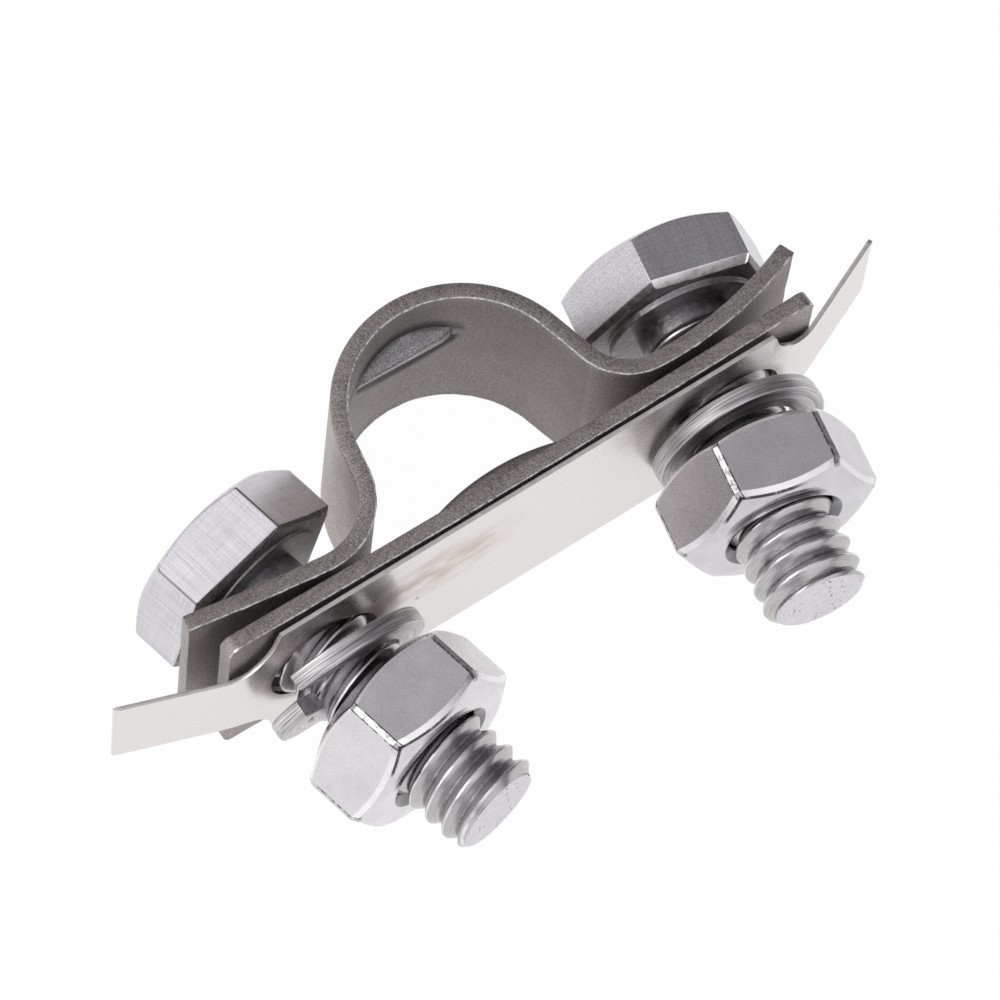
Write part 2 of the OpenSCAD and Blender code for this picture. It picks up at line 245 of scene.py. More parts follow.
def white_table(lowest):
    mesh = bpy.data.meshes.new("table")
    shape = bmesh.new()
    bmesh.ops.create_circle(shape, cap_ends=True, segments=96, radius=TABLE_RADIUS)
    shape.to_mesh(mesh)
    shape.free()
    table = bpy.data.objects.new("table", mesh)
    bpy.context.scene.collection.objects.link(table)
    table.location = (0, 0, lowest)
    finish = Finish("table_white")
    paint = finish.add("ShaderNodeBsdfDiffuse", {}, {"Color": grey(0.9)})
    glow = finish.add("ShaderNodeEmission", {}, {"Color": grey(1.0), "Strength": 1.0})
    seen = finish.add("ShaderNodeLightPath", {}, {}, out=0)
    mirrored = finish.add("ShaderNodeLightPath", {}, {}, out=3)
    share = (seen * SEEN_WHITE + mirrored * MIRRORED_WHITE).clamp()
    surface = finish.add("ShaderNodeMixShader", {}, {0: share, 1: paint, 2: glow})
    finish.add("ShaderNodeOutputMaterial", {}, {"Surface": surface})
    table.data.materials.append(finish.owner)
    return table


table = white_table(cad_box[0].z - 0.02 * MM)
print("table at", round(table.location.z / MM, 2), "mm")


# %% A room that is bright on the left
TO_THE_LEFT = (-0.796, 0.1, 0.597)
LOW_IN_FRONT = (0.2, -0.85, 0.487)


def room():
    world = bpy.data.worlds.new("studio_room")
    bpy.context.scene.world = world
    finish = Finish("studio_room", world)
    way = finish.add("ShaderNodeTexCoord", {}, {}, out=0)
    left_light = (finish.along(way, TO_THE_LEFT) * 0.85).clamp()
    front_light = finish.along(way, LOW_IN_FRONT).above(0.88, 0.12) * 0.8
    level = left_light + 0.2 + front_light
    tint = finish.mix(level.clamp(), (0.98, 0.97, 1.0, 1.0), (0.99, 0.985, 1.0, 1.0))
    lit = finish.add("ShaderNodeBackground", {}, {"Color": tint, "Strength": level})
    white = finish.add("ShaderNodeBackground", {}, {"Color": grey(1.0), "Strength": 1.0})
    seen = finish.add("ShaderNodeLightPath", {}, {}, out=0)
    surface = finish.add("ShaderNodeMixShader", {}, {0: seen, 1: lit, 2: white})
    finish.add("ShaderNodeOutputWorld", {}, {"Surface": surface})


room()
print("the room is brightest toward", TO_THE_LEFT)


# %% A soft lamp
def soft_lamp(name, place, size, power):
    light = bpy.data.lights.new(name, "AREA")
    light.shape = "DISK"
    light.size = size
    light.energy = power
    lamp = bpy.data.objects.new(name, light)
    bpy.context.scene.collection.objects.link(lamp)
    lamp.location = place
    lamp.rotation_mode = "QUATERNION"
    lamp.rotation_quaternion = Vector(place).to_track_quat("Z", "Y")


soft_lamp("left_softbox", place=(-0.45, 0.15, 0.5), size=0.5, power=0.65)

# %% [markdown]
# ## Skins over grids
#
# Every piece of the clamp is either turned, bent or wound, so each can be laid out as a grid
# of points: once round or along, and once across. `skin` covers such a grid with quads. Real
# edges are never knife sharp, and it is the small rounding that catches the light, so `eased`
# rounds the corners of an outline before the grid is made. That is safer than a bevel
# modifier, which trips over fine meshes.

# %% Cover a grid of points, and ease the corners of an outline
def skin(shape, rows, ring=True, loop=False, painted=None):
    """Quads between neighbouring rows of points. ring joins the last row to the first one,
    loop joins the two ends of each row, and painted gives strips the number of another finish."""
    grid = [[shape.verts.new(point) for point in row] for row in rows]
    for i in range(len(grid) if ring else len(grid) - 1):
        here, there = grid[i], grid[(i + 1) % len(grid)]
        for j in range(len(here) if loop else len(here) - 1):
            k = (j + 1) % len(here)
            face = shape.faces.new((here[j], there[j], there[k], here[k]))
            face.material_index = (painted or {}).get(j, 0)
    return grid


def eased(outline, closed=False, steps=3):
    """An outline of (across, up, ease) points with its corners rounded. ease is how far from
    the corner the rounding starts."""
    points = []
    for index, (across, up, ease) in enumerate(outline):
        here = Vector((across, up))
        if ease == 0 or (not closed and index in (0, len(outline) - 1)):
            points.append(here)
            continue
        back = Vector(outline[index - 1][:2]) - here
        on = Vector(outline[(index + 1) % len(outline)][:2]) - here
        start = here + back.normalized() * min(ease, back.length * 0.45)
        end = here + on.normalized() * min(ease, on.length * 0.45)
        for step in range(steps + 1):
            t = step / steps
            points.append(start * (1 - t) ** 2 + here * (2 * t * (1 - t)) + end * t ** 2)
    return points


def wobble(seed, longest, shortest, waves=9):
    """A smooth random line between about 0 and 1, the same each time for the same seed. Its
    waves hardly ever meet at full height, so their sum is made 1.8 times as high."""
    dice = random.Random(seed)
    parts = []
    for index in range(waves):
        length = longest * (shortest / longest) ** (index / (waves - 1))
        parts.append((2 * math.pi / length, dice.uniform(0, 2 * math.pi), dice.uniform(0.5, 1.0)))
    total = sum(size for _, _, size in parts)

    def line(s):
        height = sum(size * math.sin(k * s + shift) for k, shift, size in parts)
        return 0.5 + 0.5 * height / total * 1.8
    return line


square = [(0, 0, 0.1), (1, 0, 0.1), (1, 1, 0.1), (0, 1, 0.1)]
print("a square with eased corners has", len(eased(square, closed=True)), "points")


# %% Turn a skin into a piece of the clamp
def make_piece(name, shape, placement, node, body, crease=33):
    """Welds, smooths and places a skin, which is in millimetres, and puts it in a node's place."""
    bmesh.ops.remove_doubles(shape, verts=shape.verts, dist=0.0004)
    bmesh.ops.dissolve_degenerate(shape, edges=shape.edges, dist=0.0002)
    bmesh.ops.recalc_face_normals(shape, faces=shape.faces)
    bmesh.ops.scale(shape, vec=(MM, MM, MM), verts=shape.verts)
    for face in shape.faces:
        face.smooth = True
    for edge in shape.edges:
        if len(edge.link_faces) == 2 and edge.calc_face_angle(0.0) > math.radians(crease):
            edge.smooth = False
    mesh = bpy.data.meshes.new(name)
    shape.to_mesh(mesh)
    shape.free()
    piece = bpy.data.objects.new(name, mesh)
    bpy.context.scene.collection.objects.link(piece)
    piece.matrix_world = placement
    even = piece.modifiers.new("even_shading", "WEIGHTED_NORMAL")
    even.keep_sharp = True
    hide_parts(node)
    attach(piece, body)
    return piece


# %% [markdown]
# ## Two leaning bolts
#
# Head, shank, washer and nut share one axis, and the two axes lean outward at the heads' side.
# So each of these pieces is built upright about its own Z, and one matrix puts it on its bolt's
# axis, at a distance along it. The piece's finish then also runs along or round that axis.

# %% The frames of the two bolts
PLATE_LEVEL = -4.61
LEFT_X, RIGHT_X = -14.0, 14.805
LEFT_LEAN, RIGHT_LEAN = 11.7, -11.2


def rotation(degrees, axis):
    return Matrix.Rotation(math.radians(degrees), 4, axis)


def on_bolt(x, z, lean, along, unit=MM):
    """The frame of a bolt, its own Z toward the head, at a distance along it from the plate's
    level. It is in metres, or in millimetres where unit is 1."""
    moved = Matrix.Translation(Vector((x, PLATE_LEVEL, z)) * unit)
    turned = rotation(lean, "Z") @ rotation(-90, "X")
    return moved @ turned @ Matrix.Translation(Vector((0, 0, along * unit)))


def on_left_bolt(along):
    return on_bolt(LEFT_X, 0.15, LEFT_LEAN, along)


def on_right_bolt(along):
    return on_bolt(RIGHT_X, -0.2, RIGHT_LEAN, along)


print("the left bolt's axis points to", [round(v, 3) for v in on_left_bolt(0).col[2][:3]])

# %% [markdown]
# ## The hexagon
#
# Heads and nuts are 11.11 mm over their flats. The corners between the flats are rounded a
# little, so we want columns of points close together there and far apart on the flats.

# %% Columns round a hexagon
ACROSS_FLATS = 11.11


def hex_columns(corner, turn=0.0, flat_steps=12, round_corner=True):
    """(angle, reach) pairs round a hexagon whose corners are rounded to the radius corner, or
    else cut off flat where that rounding would end."""
    flat = ACROSS_FLATS / 2
    core = (flat - corner) / math.cos(math.radians(30))
    edge = 30 - math.degrees(math.atan((flat - corner) * math.tan(math.radians(30)) / flat))
    columns = []
    for k in range(6):
        for swing in (-edge, -edge / 2, 0, edge / 2) if round_corner else (-edge,):
            away = math.radians(swing)
            off = core * math.sin(away)
            reach = core * math.cos(away) + math.sqrt(max(corner ** 2 - off ** 2, 0))
            columns.append((math.radians(60 * k + swing + turn), reach))
        for step in range(flat_steps):
            swing = edge + (60 - 2 * edge) * step / flat_steps
            reach = flat / math.cos(math.radians(30 - swing))
            columns.append((math.radians(60 * k + swing + turn), reach))
    return columns


def at(angle, reach, height):
    return (reach * math.cos(angle), reach * math.sin(angle), height)


print("a hexagon has", len(hex_columns(0.2)), "columns")

# %% [markdown]
# ## The bolts
#
# The thread is rolled: straight flanks, a narrow flat on the crest, a flat root, 1.27 mm from
# crest to crest. We could model one ring and stack it, but a real thread climbs. So the grid
# is sheared: each column of points is lifted a little more than the last, and after one turn it
# joins one pitch higher. Where the thread meets the tip its points are held at the tip's plane
# and the bevel there cuts the crests down. Crests, flanks, roots and tip get a finish each.

# %% The profile of the thread
PITCH = 1.27
CREST = 3.175
THREAD_DEPTH = 0.54
SHANK_LENGTH = 18.9
TIP_RADIUS = 2.75
crest_to_root = [
    (0.0, 1.0), (0.065, 1.0), (0.075, 0.985), (0.20, 0.75), (0.32, 0.51), (0.44, 0.26),
    (0.54, 0.05), (0.56, 0.02), (0.635, 0.0),
]
one_pitch = [(-u, h) for u, h in reversed(crest_to_root[1:])] + crest_to_root[:-1]


def thread_height(offset):
    """How high the thread stands, 0 at the root to 1 on the crest, at a distance from the crest."""
    away = abs((offset + PITCH / 2) % PITCH - PITCH / 2)
    for (u0, h0), (u1, h1) in zip(crest_to_root, crest_to_root[1:]):
        if away <= u1 + 1e-9:
            return h0 + (h1 - h0) * max(away - u0, 0) / (u1 - u0)
    return 0.0


print("thread height from crest to root:", [round(thread_height(u / 10), 2) for u in (0, 3, 6)])


# %% The threaded shank
NECK_RADIUS, NECK_START, NECK_BLUR = 2.86, -1.35, 0.45
WORN_AWAY = 0.018
FLANK_SLOT, TIP_SLOT, CREST_SLOT, SCALE_SLOT, UNDERSIDE_SLOT = 1, 2, 3, 4, 5


def shank(shape, phase, turns=96):
    """A right-handed thread from the tip up to just under the head, where it runs out to a neck."""
    low, high = -SHANK_LENGTH, 0.3
    wear = wobble(11, 2.0, 0.25)
    grid = []
    pitches = int((high - low) / PITCH) + 3
    offsets = [PITCH * n + u for n in range(pitches) for u, _ in one_pitch]
    start = low - PITCH + phase
    for i in range(turns):
        angle = 2 * math.pi * i / turns
        column = []
        for offset in offsets:
            height = min(max(start + offset + PITCH * i / turns, low), high)
            ridge = thread_height(height - start - PITCH * i / turns)
            worn = WORN_AWAY * wear(angle * 3 + height * 2.1) * ridge ** 4
            reach = CREST - THREAD_DEPTH * (1 - ridge) - worn
            run_out = min(max((height - NECK_START) / NECK_BLUR, 0), 1)
            reach = reach * (1 - run_out) + NECK_RADIUS * run_out
            reach = min(reach, TIP_RADIUS + (height - low))
            column.append(shape.verts.new(at(angle, reach, height)))
        grid.append(column)
    per_pitch = len(one_pitch)
    for i in range(turns):
        last = i == turns - 1
        here, there = grid[i], grid[0] if last else grid[i + 1]
        lift = per_pitch if last else 0
        for j in range(len(offsets) - 1 - lift):
            corners = (here[j], there[j + lift], there[j + lift + 1], here[j + 1])
            level = (one_pitch[j % per_pitch][1] + one_pitch[(j + 1) % per_pitch][1]) / 2
            # Crests get a finish with a painted highlight; roots get the painted shade used under the
            # heads, which also stands for dirt in them.
            slot = CREST_SLOT if level > 0.99 else UNDERSIDE_SLOT if level < 0.04 else FLANK_SLOT
            shape.faces.new(corners).material_index = slot
    bmesh.ops.remove_doubles(shape, verts=shape.verts, dist=0.0004)
    bmesh.ops.dissolve_degenerate(shape, edges=shape.edges, dist=0.0002)
    close_tip(shape, low)


def close_tip(shape, low):
    """Closes the tip with rings of flat faces inside its rim."""
    rim = {v for e in shape.edges if e.is_boundary for v in e.verts if v.co.z < low + 0.01}
    rim = sorted(rim, key=lambda v: math.atan2(v.co.y, v.co.x))
    before = rim
    for share in (0.97, 0.6, 0.25):
        ring = [shape.verts.new((v.co.x * share, v.co.y * share, low)) for v in rim]
        for k in range(len(rim)):
            m = (k + 1) % len(rim)
            shape.faces.new((before[k], before[m], ring[m], ring[k])).material_index = TIP_SLOT
        before = ring
    middle = shape.verts.new((0, 0, low))
    for k in range(len(before)):
        shape.faces.new((before[k], before[(k + 1) % len(before)], middle)).material_index = TIP_SLOT


trial = bmesh.new()
shank(trial, 0.0)
print("a shank has", len(trial.faces), "faces; open edges:", sum(e.is_boundary for e in trial.edges))
trial.free()

# %% [markdown]
# ## The heads
#
# A head is a cold-formed hexagon. Its top is turned to a cone that leaves the corners low,
# each flat ends below in a bevel, and under it stands a thin round washer face. One outline
# per column holds all of that: only the reach of the hexagon and its bevel change. The two
# heads weren't formed alike: the left one's bevel narrows toward a corner, and the right one's
# is broad and ragged below a single flat.

# %% A head on a shank
HEAD_HEIGHT = 4.27
HEAD_TOP = 5.4
WASHER_RADIUS = 4.58
LEFT_HEAD_TURN, RIGHT_HEAD_TURN = -15.4, 8.9
CONE = math.tan(math.radians(30))


def slanted_bevel(swing):
    """The left head's bevel, inward and up, in mm. It is narrowest at one corner."""
    share = 0.5 + swing / 120
    if swing > 60:
        share = min(max((300 - swing) / 60, (swing - 335) / 50, 0), 1)
    return 0.26 + 0.24 * share, 0.16 + 0.34 * share


ragged_lip = wobble(41, 1.9, 0.4)


def broad_bevel(swing):
    """The right head's bevel, inward and up, in mm. It is broad and ragged below one flat."""
    return (0.40 + 0.2 * ragged_lip(swing * 0.09), 0.46) if 240 < swing < 300 else (0.3, 0.36)


def head(shape, turn, thick, bevel, torn):
    """thick is the height of the washer face, bevel tells how far the bevel cuts the flats, and
    torn from which angle to which the bevel has torn scale; the rest of the bevel, the washer
    face and the neck get painted shade."""
    rows = []
    for angle, reach in hex_columns(0.16, turn):
        inward, up = bevel((math.degrees(angle) - turn) % 360)
        narrow = reach * (1 - inward / (ACROSS_FLATS / 2))
        shoulder = HEAD_HEIGHT - (reach - HEAD_TOP) * CONE
        outline = [
            (2.7, 0, 0), (WASHER_RADIUS, 0, 0.07), (WASHER_RADIUS + 0.02, thick, 0.12),
            (narrow, thick + 0.02, 0.06), (reach, thick + up, 0.06),
            (reach, shoulder, 0.12), (HEAD_TOP, HEAD_HEIGHT, 0.25),
            (2.0, HEAD_HEIGHT, 0), (0, HEAD_HEIGHT, 0),
        ]
        rows.append([at(angle, across, up) for across, up in eased(outline)])
    skin(shape, rows)
    for face in shape.faces:
        middle = face.calc_center_median()
        swing = (math.degrees(math.atan2(middle.y, middle.x)) - turn) % 360
        low, high = thick + 0.03, thick + bevel(swing)[1] - 0.01
        # Painted shade under the head: bevel faces outside the torn range, the washer face and the
        # top of the shank get the dark shade finish.
        if low < middle.z < high and middle.xy.length > 4.9:
            face.material_index = SCALE_SLOT if torn[0] < swing < torn[1] else UNDERSIDE_SLOT
        elif -1.0 < middle.z < 0.02 or (0.02 < middle.z < low and middle.xy.length > 4.5):
            face.material_index = UNDERSIDE_SLOT


def hex_bolt(name, turn, phase, placement, thick, bevel, torn):
    shape = bmesh.new()
    shank(shape, phase)
    head(shape, turn, thick, bevel, torn)
    return make_piece(name + "_steel", shape, placement, name, name)


pieces = {
    "left_bolt": hex_bolt(
        "left_bolt", LEFT_HEAD_TURN, phase=0.75, placement=on_left_bolt(3.56),
        thick=0.2, bevel=slanted_bevel, torn=(180, 360),
    ),
    "right_bolt": hex_bolt(
        "right_bolt", RIGHT_HEAD_TURN, phase=0.10, placement=on_right_bolt(4.28),
        thick=0.42, bevel=broad_bevel, torn=(240, 300),
    ),
}
print("bolt faces:", [len(pieces[n].data.polygons) for n in ("left_bolt", "right_bolt")])

# %% [markdown]
# ## The nuts
#
# A nut is the same hexagon with a cone cut on both faces and a hole. The bore is countersunk
# at both mouths, which leads the bolt in. Its edges are worn to narrow flat facets, which catch
# the light as broad bright lines. So its corners are cut off flat, `eased` takes one step
# only, and an angle of 25 degrees already counts as a crease.

# %% Nuts
NUT_HEIGHT = 5.40
NEAR_FLAT, FAR_FLAT = 4.3, 4.92
BORE, MOUTH = 3.22, 3.68
LEFT_NUT_TURN, RIGHT_NUT_TURN = 0.2, 1.0


def hex_nut(name, turn, placement):
    shape = bmesh.new()
    rows = []
    for angle, reach in hex_columns(0.36, turn, round_corner=False):
        far_fall, near_fall = (reach - FAR_FLAT) * CONE, (reach - NEAR_FLAT) * CONE
        outline = [
            (BORE, -NUT_HEIGHT + 0.5, 0), (MOUTH, -NUT_HEIGHT, 0.06), (FAR_FLAT, -NUT_HEIGHT, 0.12),
            (reach, -NUT_HEIGHT + far_fall, 0.23), (reach, -near_fall, 0.17),
            (NEAR_FLAT, 0, 0.22), (MOUTH, 0, 0.06), (BORE, -0.5, 0),
        ]
        rows.append([at(angle, across, up) for across, up in eased(outline, steps=1)])
    skin(shape, rows, loop=True)
    return make_piece(name + "_steel", shape, placement, name, name, crease=25)


pieces["left_nut"] = hex_nut("left_nut", LEFT_NUT_TURN, on_left_bolt(-5.43))
pieces["right_nut"] = hex_nut("right_nut", RIGHT_NUT_TURN, on_right_bolt(-4.4))
print("nut faces:", len(pieces["left_nut"].data.polygons))

# %% [markdown]
# ## The split washers
#
# A split washer is a drawn bar with rounded edges, wound once and cut. It falls as it goes
# round, so its two ends stand apart. We sweep the bar's outline along that turn; the first and
# last outlines are a little smaller, which rolls the cut edges. The nuts of this clamp are
# loose, so its washers lie tilted on the bolts.

# %% Split washers
WASHER_INNER, WASHER_OUTER, WASHER_THICK = 3.45, 5.3, 1.1
WASHER_RISE, WASHER_GAP = 1.3, 7.0
BAR_END_SLOT = 1


def split_washer(name, tilt, turn, placement):
    """A washer tilted about its two sides' axes, with its gap turned round it, in degrees. The
    turn goes into the mesh, so that the piece's own box stays close round it."""
    shape = bmesh.new()
    half = WASHER_THICK / 2
    corners = [(WASHER_INNER, -half, 0.2), (WASHER_OUTER, -half, 0.2)]
    corners += [(WASHER_OUTER, half, 0.2), (WASHER_INNER, half, 0.2)]
    bar = eased(corners, closed=True)
    middle = (WASHER_INNER + WASHER_OUTER) / 2
    sweep = 360 - WASHER_GAP
    stations = [(0.0, 0.93), (0.25, 0.98), (0.7, 1.0)]
    stations += [(3 * n, 1.0) for n in range(1, int(sweep / 3))]
    stations += [(sweep - 0.7, 1.0), (sweep - 0.25, 0.98), (sweep, 0.93)]
    rows = []
    for station, size in stations:
        angle = math.radians(WASHER_GAP / 2 + station)
        fall = WASHER_RISE * (0.5 - station / sweep)
        rows.append([at(angle, middle + (r - middle) * size, z * size + fall) for r, z in bar])
    grid = skin(shape, rows, ring=False, loop=True)
    shape.faces.new(grid[0]).material_index = BAR_END_SLOT
    shape.faces.new(grid[-1]).material_index = BAR_END_SLOT
    shape.transform(rotation(turn, "Z"))
    lie = rotation(tilt[1], "Y") @ rotation(tilt[0], "X")
    body = name.replace("spring_", "")
    return make_piece(name + "_steel", shape, placement @ lie, name, body)


def slipped(frame_on_bolt, across, aside):
    """A frame moved off the bolt's axis, for a washer that hangs loose."""
    return frame_on_bolt @ Matrix.Translation(Vector((across, aside, 0)) * MM)


pieces["left_spring_washer"] = split_washer(
    "left_spring_washer", (10.25, 8.9), -141, slipped(on_left_bolt(-3.42), 0.03, 0.03))
pieces["right_spring_washer"] = split_washer(
    "right_spring_washer", (-2.4, -6.0), 70, slipped(on_right_bolt(-3.19), 0.09, 0.19))
print("washer faces:", len(pieces["left_spring_washer"].data.polygons))

# %% [markdown]
# ## Bent sheet
#
# The strap, the plate and the shim are cut from sheet. A sheared edge isn't square: the punch
# rolls the arris it enters and leaves a thin torn burr on the arris it comes out of. In the
# photograph that burr is a fine bright wavy line along the lower side of the cut edges. So a
# piece of sheet is swept here from its own outlines: each has the rolled arris, the flat cut
# and the burr, and the burr grows and shrinks along the way.

# %% The outline of cut sheet, and a walk along its bends
def cut_outline(under, over, near, far, burr, across):
    """One turn round the cross-section of a sheet: (up, width) points, where up runs from
    under to over and width from far to near. across adds points on both broad faces."""
    roll = 0.16 * (over(0) - under(0))
    inner = [min(max(w, far + 0.35), near - 0.35) for w in across]
    top_far, top_near, low_near, low_far = over(far), over(near), under(near), under(far)
    slip = roll * 0.3
    points = [(top_far - roll, far), (top_far - slip, far + slip), (top_far, far + roll)]
    points += [(over(w), w) for w in inner]
    points += [(top_near, near - roll), (top_near - slip, near - slip), (top_near - roll, near)]
    points += [(low_near + 0.05, near), (low_near - burr, near - 0.012)]
    points += [(low_near - burr * 0.8, near - 0.07), (low_near, near - 0.12)]
    points += [(under(w), w) for w in reversed(inner)]
    points += [(low_far, far + 0.10), (low_far - burr * 0.6, far + 0.03), (low_far + 0.03, far)]
    return points


def walk(start, moves, step=0.35):
    """Points along a bent line: (x, y, heading, distance). A move is ("run", length) or
    ("bend", radius, degrees), where positive degrees turn left."""
    x, y, heading, gone = start[0], start[1], math.radians(start[2]), 0.0
    points = [(x, y, heading, gone)]
    for move in moves:
        bends = move[0] == "bend"
        turn = math.radians(move[2]) if bends else 0.0
        length = move[1] * abs(turn) if bends else move[1]
        strides = max(1, math.ceil(length / step), math.ceil(abs(turn) / math.radians(3)))
        part, bit = length / strides, turn / strides
        chord = 2 * move[1] * math.sin(abs(bit) / 2) if bends else part
        for _ in range(strides):
            heading += bit / 2
            x, y = x + chord * math.cos(heading), y + chord * math.sin(heading)
            heading += bit / 2
            gone += part
            points.append((x, y, heading, gone))
    return points


quarter = walk((0, 0, 0), [("bend", 5, 90)])
print("a walk round a quarter bend ends at", [round(v, 3) for v in quarter[-1][:2]])


# %% Drill the bolt holes
HOLE_STEPS = 72


def drilled(shape, holes, radius):
    """Cuts round holes through a skin. Each hole is a matrix whose Z is its axis. The blank's
    three empty material slots keep the strips' numbers through the cut."""
    mesh = bpy.data.meshes.new("blank")
    bmesh.ops.remove_doubles(shape, verts=shape.verts, dist=0.0004)
    bmesh.ops.dissolve_degenerate(shape, edges=shape.edges, dist=0.0002)
    bmesh.ops.recalc_face_normals(shape, faces=shape.faces)
    shape.to_mesh(mesh)
    shape.free()
    for _ in range(3):
        mesh.materials.append(None)
    blank = bpy.data.objects.new("blank", mesh)
    bpy.context.scene.collection.objects.link(blank)
    drills = []
    for place in holes:
        drill = bmesh.new()
        rows = []
        for k in range(HOLE_STEPS):
            angle = 2 * math.pi * k / HOLE_STEPS
            side = ((0, -6), (radius, -6), (radius, 6), (0, 6))
            rows.append([at(angle, reach, up) for reach, up in side])
        skin(drill, rows)
        bmesh.ops.remove_doubles(drill, verts=drill.verts, dist=0.001)
        bmesh.ops.recalc_face_normals(drill, faces=drill.faces)
        drill.transform(place)
        drill_mesh = bpy.data.meshes.new("drill")
        drill.to_mesh(drill_mesh)
        drill.free()
        tool = bpy.data.objects.new("drill", drill_mesh)
        bpy.context.scene.collection.objects.link(tool)
        cut = blank.modifiers.new("hole", "BOOLEAN")
        cut.operation = "DIFFERENCE"
        cut.object = tool
        drills.append(tool)
    bpy.context.view_layer.update()
    view = blank.evaluated_get(bpy.context.evaluated_depsgraph_get())
    done = bmesh.new()
    done.from_mesh(view.to_mesh())
    view.to_mesh_clear()
    for extra in [blank] + drills:
        data = extra.data
        bpy.data.objects.remove(extra)
        bpy.data.meshes.remove(data)
    return done


def bolt_holes(left_along, right_along):
    """The two bolts' frames in millimetres, half way along the strap's width."""
    left = on_bolt(LEFT_X, 0, LEFT_LEAN, left_along, unit=1)
    right = on_bolt(RIGHT_X, 0, RIGHT_LEAN, right_along, unit=1)
    return [left, right]


crossings = [round(hole.translation.x, 3) for hole in bolt_holes(0, 0)]
print("the bolts cross the plate's level at x", crossings)


# %% Sweep the outline into a sheet
BURR_SLOT, INSIDE_SLOT = 1, 2


def lifted(point, section):
    """Stands a section of (up, width) points on a point of a walk."""
    x, y, heading, _ = point
    return [(x - math.sin(heading) * up, y + math.cos(heading) * up, w) for up, w in section]


def swept(sections, across_count):
    """A skin over cross-sections, closed at both ends, whose end edges are slightly rolled.
    The burr gets a slot of its own for its painted highlight, and so does the under side, which
    the strap darkens with painted shade."""
    def drawn_in(section, share):
        middle = sum((Vector(p) for p in section), Vector()) / len(section)
        return [tuple(Vector(p) - (Vector(p) - middle).normalized() * share) for p in section]
    shape = bmesh.new()
    rows = [drawn_in(sections[0], 0.06)] + sections[1:-1] + [drawn_in(sections[-1], 0.06)]
    burr = 6 + across_count
    painted = {burr: BURR_SLOT, burr + 1: BURR_SLOT}
    painted.update({strip: INSIDE_SLOT for strip in range(burr + 3, burr + 4 + across_count)})
    grid = skin(shape, rows, ring=False, loop=True, painted=painted)
    shape.faces.new(grid[0])
    shape.faces.new(grid[-1])
    return shape


def both_sides(left, right):
    """One walk from end to end, out of two that start in the middle and go outward."""
    return [(-x, y, -heading, -gone) for x, y, heading, gone in reversed(left[1:])] + right


def sheet_piece(node, sections, across_count, holes, hole_radius, body):
    """Sweeps and drills a sheet, and puts it in its node's place."""
    shape = drilled(swept(sections, across_count), holes, hole_radius)
    return make_piece(node + "_steel", shape, Matrix.Identity(4), node, body, crease=40)


test_outline = cut_outline(lambda w: 0, lambda w: 1, 2, -2, 0, [])
trial = swept([lifted(point, test_outline) for point in quarter], 0)
print("a bent test strip has", len(trial.faces), "faces")
trial.free()

# %% [markdown]
# ## The saddle strap
#
# One strip: along the left wing, round the left root, up the leg, over the crown and down
# again. A sharp rib is pressed into the crown from outside, so it shows as a ridge inside and as
# a vee groove outside. Its ridge is straight while the crown is round, so it runs out at both
# ends by itself: at each angle the ridge simply stands where the straight vee would be.

# %% The saddle strap
STRAP = 1.0
STRAP_WIDTH = 12.8
CROWN = 7.25
RIB_RIDGE, RIB_Z, RIB_SKIN = 5.9, 1.9, 1.1
RIB_HALF, RIB_END = 3.27, 3.5
CROWN_FOOT = 1.2
STRAP_HOLE, PLATE_HOLE = 3.75, 3.57


def half_strap(lean, leg, root, wing_rise, sweep_radius, wing):
    """From the crown's top down a leg, round its root bend and out along a slightly bent wing."""
    moves = [("bend", CROWN, -(90 - lean)), ("run", leg), ("bend", root, 90 - lean + wing_rise)]
    moves.append(("bend", sweep_radius, math.degrees(wing / sweep_radius)))
    return walk((0, CROWN, 0), moves)


def saddle_strap():
    right = half_strap(lean=13.6, leg=2.9, root=3.28, wing_rise=-3.0, sweep_radius=24.4, wing=10.65)
    left = half_strap(lean=11.2, leg=1.8, root=4.35, wing_rise=6.1, sweep_radius=133.0, wing=8.8)
    near, far = STRAP_WIDTH / 2, -STRAP_WIDTH / 2
    across = [w / 100 for w in range(90, 270, 6)] + [w / 10 for w in range(28, 42, 2)]
    across = sorted(across + [far + 1.0, far + 3.0, 0.0, 0.6, near - 1.0])
    torn, ragged = wobble(3, 9.0, 1.1), wobble(5, 1.3, 0.35)
    sections = []
    for point in both_sides(left, right):
        x, y, _, gone = point
        on_crown = y > CROWN_FOOT
        lean = abs(math.atan2(x, y)) if on_crown else math.pi / 2
        share = min(max((x + RIB_HALF) / (2 * RIB_HALF), 0), 1)
        ridge_y, front = RIB_RIDGE - 0.2 * share, RIB_Z + 0.25 * share
        back = RIB_Z - 0.38 + 0.02 * share
        run_out = min(max((RIB_END - x) / 0.22, 0), 1)

        def under(w):
            slope = max(w - front, (back - w) * 3.2, 0)
            ridge = (ridge_y + slope) / max(math.cos(lean), 0.05)
            pressed = min(CROWN - STRAP / 2, ridge) - CROWN
            return -STRAP / 2 + (pressed + STRAP / 2) * run_out if on_crown else -STRAP / 2

        def over(w):
            groove = (RIB_RIDGE + RIB_SKIN + abs(w - RIB_Z)) / max(math.cos(lean), 0.05)
            return min(CROWN + STRAP / 2, groove) - CROWN if on_crown else STRAP / 2

        burr = 0.012 + 0.085 * max(torn(gone), 0) * (0.45 + 0.55 * ragged(gone))
        sections.append(lifted(point, cut_outline(under, over, near, far, burr, across)))
    holes = bolt_holes(3.0, 3.6)
    return sheet_piece("saddle_strap", sections, len(across), holes, STRAP_HOLE, "saddle")


pieces["saddle_strap"] = saddle_strap()
strap_faces = pieces["saddle_strap"].data.polygons
burr_faces = sum(face.material_index == BURR_SLOT for face in strap_faces)
print("strap faces:", len(strap_faces), "of which burr:", burr_faces)

# %% [markdown]
# ## The base plate
#
# A flat strip with rounded corners and a very slight bow, and a rib pressed up near its front
# edge. The rib is a piece of a lens lying on its side: round across, thin at both ends.

